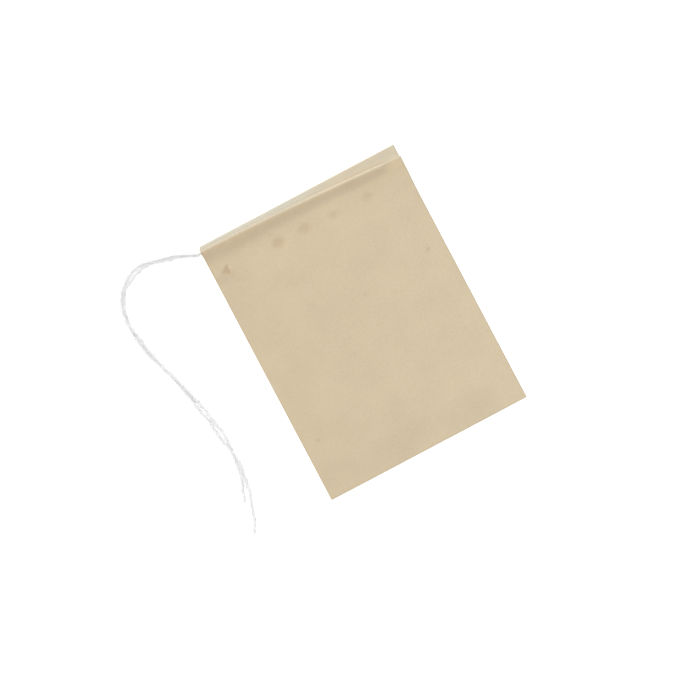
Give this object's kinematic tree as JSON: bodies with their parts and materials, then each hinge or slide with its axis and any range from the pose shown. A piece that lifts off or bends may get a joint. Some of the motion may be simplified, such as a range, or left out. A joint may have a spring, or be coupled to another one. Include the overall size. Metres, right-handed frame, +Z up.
{
  "type": "drawstring tea filter bag",
  "caption": "Empty flat tea bag of unbleached filter paper, folded at the bottom, hemmed at the open top, with a cotton drawstring whose tails leave one corner.",
  "frame": {"origin": "middle of the bag's footprint, on the surface it lies on", "axes": "+X across the bag with the string's corner at -X, +Y from the bottom fold to the mouth, +Z up from the surface through the bag's thickness"},
  "size_m": [0.1013, 0.0946, 0.0022],
  "materials": {
    "filter_paper": "unbleached tan filter paper, matt, faintly mottled, with fine long fibres",
    "cotton_string": "soft white twisted cotton, matt"
  },
  "bodies": {
    "root": {"filter_bag": "filter_paper", "front_string_in_hem": "cotton_string", "back_string_in_hem": "cotton_string", "front_string_tail": "cotton_string", "back_string_tail": "cotton_string"}
  },
  "joints": []
}
